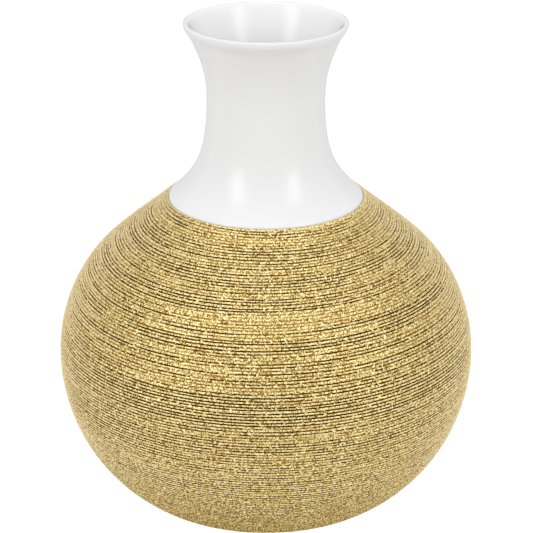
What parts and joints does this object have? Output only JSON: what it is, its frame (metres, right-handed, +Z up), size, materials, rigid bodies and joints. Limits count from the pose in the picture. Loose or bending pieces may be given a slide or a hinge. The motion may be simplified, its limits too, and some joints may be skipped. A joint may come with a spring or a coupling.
{
  "type": "porcelain vase",
  "caption": "White porcelain vase with a flared neck on a squat globe covered in a raised, ringed gold coat; it stands on a low foot ring.",
  "frame": {"origin": "centre of the foot ring's underside, on the surface the vase stands on", "axes": "+Z up along the vase's axis; X and Y level, the vase is round so their direction is free"},
  "size_m": [0.18, 0.18, 0.21],
  "materials": {
    "white_glaze": "white porcelain under a clear gloss glaze",
    "porcelain_body": "white porcelain, thin glaze inside",
    "gold_lustre": "raised slip in fine broken rings under gold lustre, brown in the grooves",
    "unglazed_porcelain": "bare fired porcelain, fine and matt"
  },
  "bodies": {
    "root": {"neck": "white_glaze", "globe": "porcelain_body", "gold_coat": "gold_lustre", "foot_ring": "unglazed_porcelain"}
  },
  "joints": []
}
